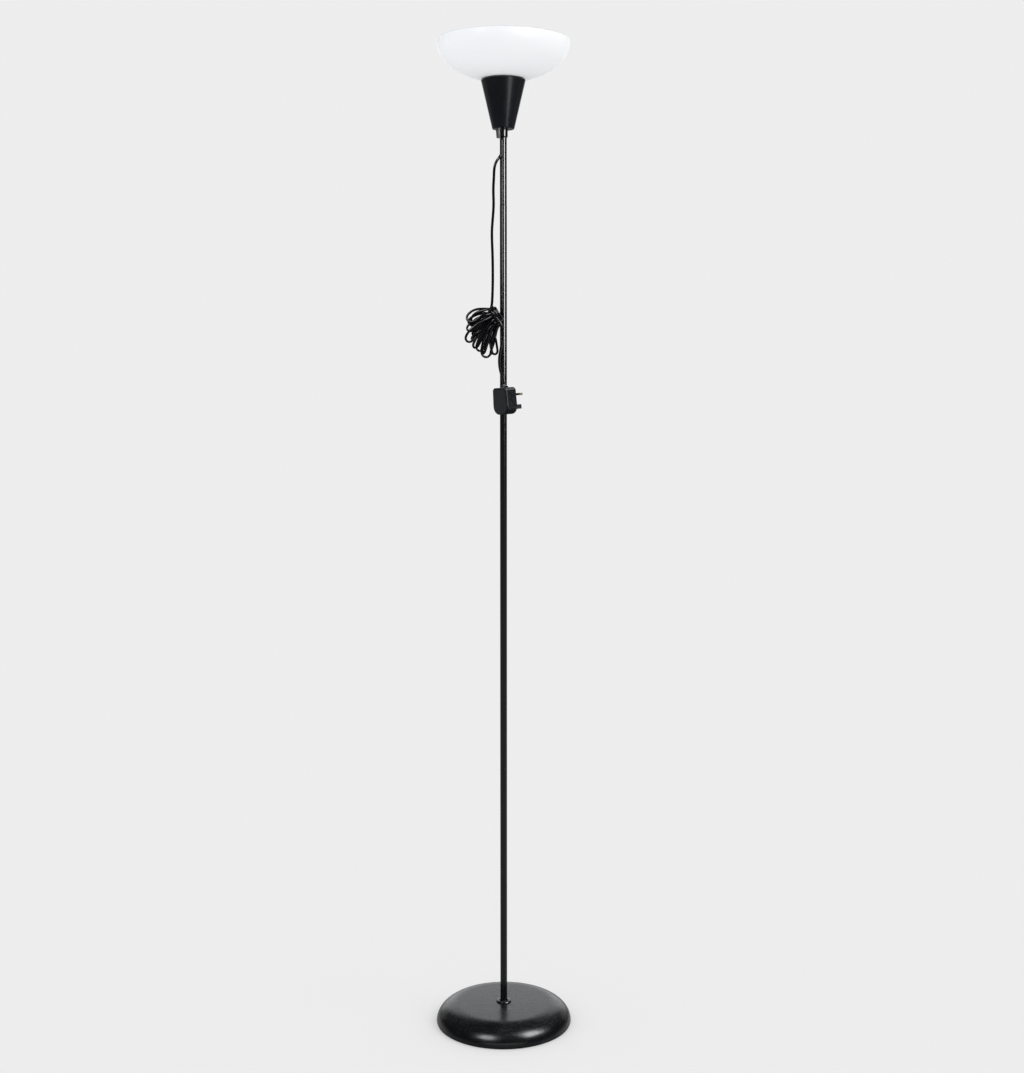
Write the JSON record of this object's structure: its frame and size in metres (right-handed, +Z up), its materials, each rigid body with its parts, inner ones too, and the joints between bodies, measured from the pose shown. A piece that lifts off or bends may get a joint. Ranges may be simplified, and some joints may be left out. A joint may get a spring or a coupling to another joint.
{
  "type": "torchiere floor lamp",
  "caption": "Slim uplighter floor lamp: domed round base, screwed tube pole, conical head, opal bowl, rotary switch and a tied hank of flat cord with a mains plug.",
  "frame": {"origin": "on the floor under the axis of the pole, centre of the base", "axes": "+Z up along the pole; -Y is the front, where the cord and plug hang; +X to the right seen from the front"},
  "size_m": [0.253, 0.253, 1.8],
  "materials": {
    "base_gloss": "gloss black moulded cover, dusty and faintly scratched",
    "pole_gloss": "gloss black lacquered steel tube",
    "cup_satin": "satin black moulded cup",
    "shade_opal": "smooth opal white moulded plastic",
    "globe_opal": "opal diffuser",
    "white_plastic": "white moulded plastic",
    "black_plastic": "fine-grained black moulded plastic",
    "plug_plastic": "black moulded plug, satin",
    "earth_plastic": "dark grey moulded pin",
    "cord_pvc": "black flat twin cord, semi-gloss",
    "lead_sleeve": "insulated core",
    "felt_pad": "dark felt pad",
    "iron_weight": "rough cast iron",
    "zinc_steel": "zinc-plated steel",
    "brass_contact": "plain brass",
    "nickel_cap": "nickel-plated sheet",
    "ceramic": "glazed ceramic",
    "vitrite": "dark insulating glass",
    "board_white": "white printed board with light emitters"
  },
  "bodies": {
    "root": {"base_cover": "base_gloss", "base_weight": "iron_weight", "base_plate": "black_plastic", "base_feet": "felt_pad", "base_stud": "zinc_steel", "base_washer": "zinc_steel", "base_nut": "zinc_steel", "foot_collar": "pole_gloss", "pole_lower": "pole_gloss", "pole_middle": "pole_gloss", "pole_upper": "pole_gloss", "head_tube": "pole_gloss", "pole_lower_bush": "zinc_steel", "pole_middle_bush": "zinc_steel", "pole_upper_bush": "zinc_steel", "head_tube_bush": "zinc_steel", "pole_lower_stud": "zinc_steel", "pole_middle_stud": "zinc_steel", "pole_upper_stud": "zinc_steel", "head_cup": "cup_satin", "neck_ferrule": "pole_gloss", "head_nipple": "zinc_steel", "head_nut": "zinc_steel", "lampholder_cap": "black_plastic", "lampholder_body": "black_plastic", "contact_block": "ceramic", "screw_shell": "nickel_cap", "centre_contact": "brass_contact", "terminal_screws": "brass_contact", "inner_leads": "lead_sleeve", "shade_ring": "black_plastic", "shade_bowl": "shade_opal", "switch_body": "black_plastic", "switch_nut": "zinc_steel", "switch_leads": "lead_sleeve", "cord_gland": "black_plastic", "cord_upper": "cord_pvc", "cord_tail": "cord_pvc", "cord_hank": "cord_pvc", "plug_cover": "plug_plastic", "plug_base": "plug_plastic", "plug_live_pin": "brass_contact", "plug_neutral_pin": "brass_contact", "plug_pin_sleeves": "plug_plastic", "plug_earth_pin": "earth_plastic", "plug_boss": "plug_plastic", "fuse_carrier": "plug_plastic", "fuse": "ceramic", "fuse_clips": "brass_contact"},
    "bulb_tip": {"bulb_contact": "nickel_cap"},
    "bulb": {"bulb_cap": "nickel_cap", "bulb_insulator": "vitrite", "bulb_housing": "white_plastic", "led_board": "board_white", "bulb_globe": "globe_opal"},
    "knob": {"switch_shaft": "zinc_steel", "switch_knob": "black_plastic"}
  },
  "joints": [
    {"name": "bulb_lift", "type": "slide", "parent": "root", "child": "bulb_tip", "axis": [0, 0, 1], "range_m": [0, 0.01825]},
    {"name": "bulb_turn", "type": "hinge", "parent": "bulb_tip", "child": "bulb", "pos_m": [0, 0, 1.715], "axis": [0, 0, 1], "range_deg": [0, 1800]},
    {"name": "switch_turn", "type": "hinge", "parent": "root", "child": "knob", "pos_m": [-0.0084, -0.0103, 1.64], "axis": [0, 0, 1], "continuous": true}
  ],
  "couplings": [
    {"joint": "bulb_lift", "follows": "bulb_turn", "m_per_rad": 0.00057757}
  ]
}
